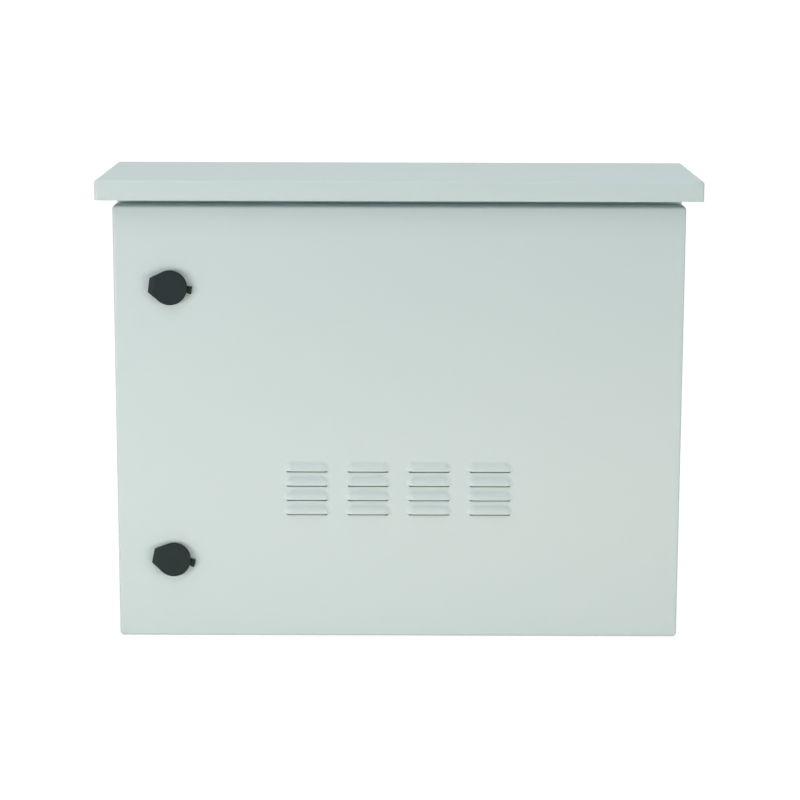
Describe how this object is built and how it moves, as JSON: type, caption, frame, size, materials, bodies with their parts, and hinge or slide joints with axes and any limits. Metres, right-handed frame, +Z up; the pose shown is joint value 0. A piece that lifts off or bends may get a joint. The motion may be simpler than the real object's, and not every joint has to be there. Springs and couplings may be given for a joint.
{
  "type": "roadside utility cabinet",
  "caption": "Low wide outdoor cabinet of folded painted steel: rain canopy, full-front hinged door with pressed louvres, capped quarter-turn locks, mounting plate and gland plate inside.",
  "frame": {"origin": "middle of the base, on the surface the cabinet stands on, half way between the front of the door and the wall plane", "axes": "+X to the right seen from the front, +Y from the door to the wall, +Z up"},
  "size_m": [0.632, 0.22, 0.4999],
  "materials": {
    "painted_steel": "satin powder coat, pale grey-green, faint orange peel",
    "galvanised_sheet": "galvanised sheet with soft spangle",
    "black_plastic": "matte moulded polyamide",
    "lock_zinc": "die-cast zinc, satin",
    "zinc_plated_steel": "bright zinc plated",
    "seal_foam": "closed-cell foam, matt",
    "black_rubber": "matt rubber",
    "filter_fleece": "non-woven filter fleece"
  },
  "bodies": {
    "cabinet": {"body_shell": "painted_steel", "roof_canopy": "painted_steel", "roof_studs": "zinc_plated_steel", "roof_washers": "black_rubber", "roof_nuts": "zinc_plated_steel", "mounting_plate": "galvanised_sheet", "plate_studs": "zinc_plated_steel", "plate_sleeves": "zinc_plated_steel", "plate_nuts": "zinc_plated_steel", "gland_gasket": "seal_foam", "gland_plate": "galvanised_sheet", "gland_studs": "zinc_plated_steel", "gland_nuts": "zinc_plated_steel", "cable_grommets": "black_rubber", "body_earth_stud": "zinc_plated_steel", "body_earth_nut": "zinc_plated_steel", "upper_hinge_arm": "zinc_plated_steel", "lower_hinge_arm": "zinc_plated_steel", "hinge_arm_screws": "zinc_plated_steel", "hinge_arm_nuts": "zinc_plated_steel", "upper_hinge_pin": "zinc_plated_steel", "lower_hinge_pin": "zinc_plated_steel"},
    "door": {"door_panel": "painted_steel", "door_seal": "seal_foam", "filter_mat": "filter_fleece", "filter_frame": "galvanised_sheet", "filter_studs": "zinc_plated_steel", "filter_nuts": "zinc_plated_steel", "upper_hinge_leaf": "zinc_plated_steel", "lower_hinge_leaf": "zinc_plated_steel", "hinge_leaf_studs": "zinc_plated_steel", "hinge_leaf_nuts": "zinc_plated_steel", "upper_lock_housing": "lock_zinc", "lower_lock_housing": "lock_zinc", "upper_lock_nut": "lock_zinc", "lower_lock_nut": "lock_zinc", "upper_cap_ring": "black_plastic", "lower_cap_ring": "black_plastic", "upper_cap_pin": "zinc_plated_steel", "lower_cap_pin": "zinc_plated_steel", "door_earth_stud": "zinc_plated_steel", "door_earth_nut": "zinc_plated_steel"},
    "upper_lock": {"upper_lock_core": "lock_zinc", "upper_lock_cam": "zinc_plated_steel", "upper_cam_screw": "zinc_plated_steel"},
    "lower_lock": {"lower_lock_core": "lock_zinc", "lower_lock_cam": "zinc_plated_steel", "lower_cam_screw": "zinc_plated_steel"},
    "upper_cap": {"upper_dust_cap": "black_plastic"},
    "lower_cap": {"lower_dust_cap": "black_plastic"}
  },
  "joints": [
    {"name": "door_hinge", "type": "hinge", "parent": "cabinet", "child": "door", "pos_m": [0.294, -0.092, 0.238], "axis": [0, 0, 1], "range_deg": [0, 120]},
    {"name": "upper_lock_turn", "type": "hinge", "parent": "door", "child": "upper_lock", "pos_m": [-0.2405, -0.1, 0.385], "axis": [0, 1, 0], "range_deg": [0, 90]},
    {"name": "upper_cap_flip", "type": "hinge", "parent": "door", "child": "upper_cap", "pos_m": [-0.21978, -0.1034, 0.38227], "axis": [0.1305, 0, 0.9914], "range_deg": [0, 110]},
    {"name": "lower_lock_turn", "type": "hinge", "parent": "door", "child": "lower_lock", "pos_m": [-0.2405, -0.1, 0.091], "axis": [0, 1, 0], "range_deg": [0, 90]},
    {"name": "lower_cap_flip", "type": "hinge", "parent": "door", "child": "lower_cap", "pos_m": [-0.22002, -0.1034, 0.08683], "axis": [0.1994, 0, 0.9799], "range_deg": [0, 110]}
  ]
}
